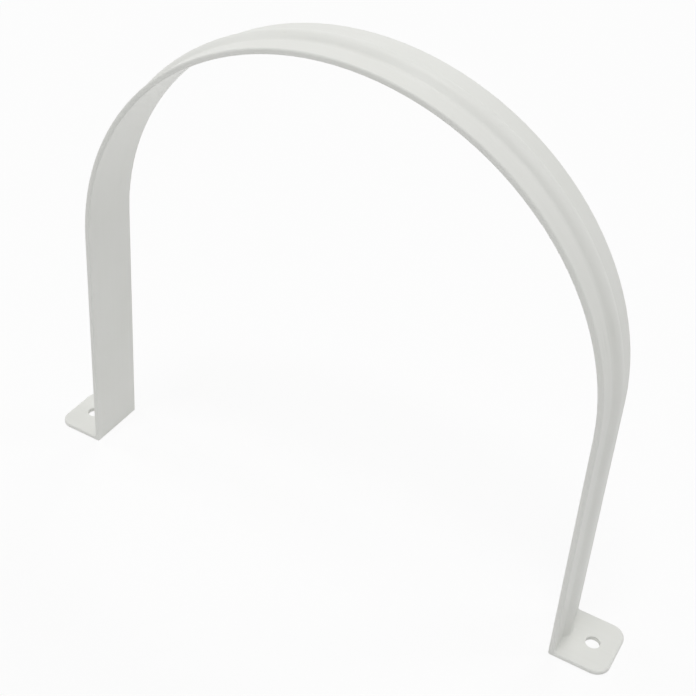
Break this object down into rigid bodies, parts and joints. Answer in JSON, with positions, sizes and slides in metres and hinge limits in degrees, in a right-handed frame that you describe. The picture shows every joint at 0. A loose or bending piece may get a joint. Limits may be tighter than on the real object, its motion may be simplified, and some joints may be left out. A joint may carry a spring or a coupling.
{
  "type": "round pipe clamp",
  "caption": "Round pipe clamp: a ribbed white plastic strap that arches over a pipe and is screwed to a wall through a drilled foot at each end.",
  "frame": {"origin": "on the wall plane that the feet stand on, midway between the feet", "axes": "+Z away from the wall through the arch's crown, +Y along the pipe, +X across the feet"},
  "size_m": [0.1874, 0.0188, 0.1534],
  "materials": {
    "strap": "satin moulded, white"
  },
  "bodies": {
    "root": {"pipe_clamp": "strap"}
  },
  "joints": []
}
